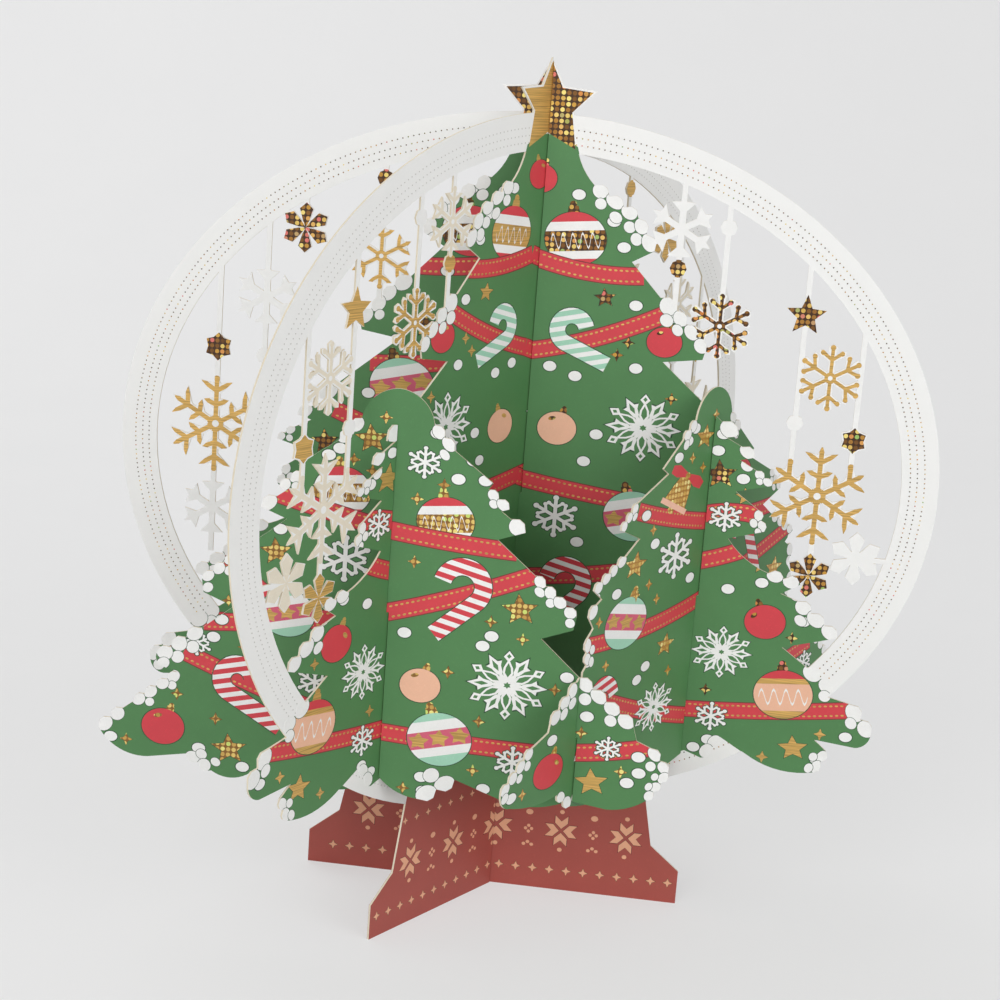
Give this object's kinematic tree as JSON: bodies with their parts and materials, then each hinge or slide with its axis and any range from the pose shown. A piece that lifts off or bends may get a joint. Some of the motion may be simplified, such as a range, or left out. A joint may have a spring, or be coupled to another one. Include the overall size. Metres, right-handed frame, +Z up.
{
  "type": "pop up card",
  "caption": "Slot-together pop-up card of a snow globe: an oval lace ring around a tiered Christmas tree with a star, a knit-patterned trunk and smaller trees in front.",
  "frame": {"origin": "on the floor, under the upright line where the two globe sheets cross", "axes": "+Z up, +X along the broad globe sheet to the right, -Y towards the viewer of the broad sheet's printed front"},
  "size_m": [0.16, 0.138, 0.1653],
  "materials": {
    "globe_card": "satin",
    "tree_card": "satin"
  },
  "bodies": {
    "root": {"broad_globe_sheet": "globe_card", "cross_globe_sheet": "globe_card", "front_tree_sheet": "tree_card", "side_tree_sheet": "tree_card"}
  },
  "joints": []
}
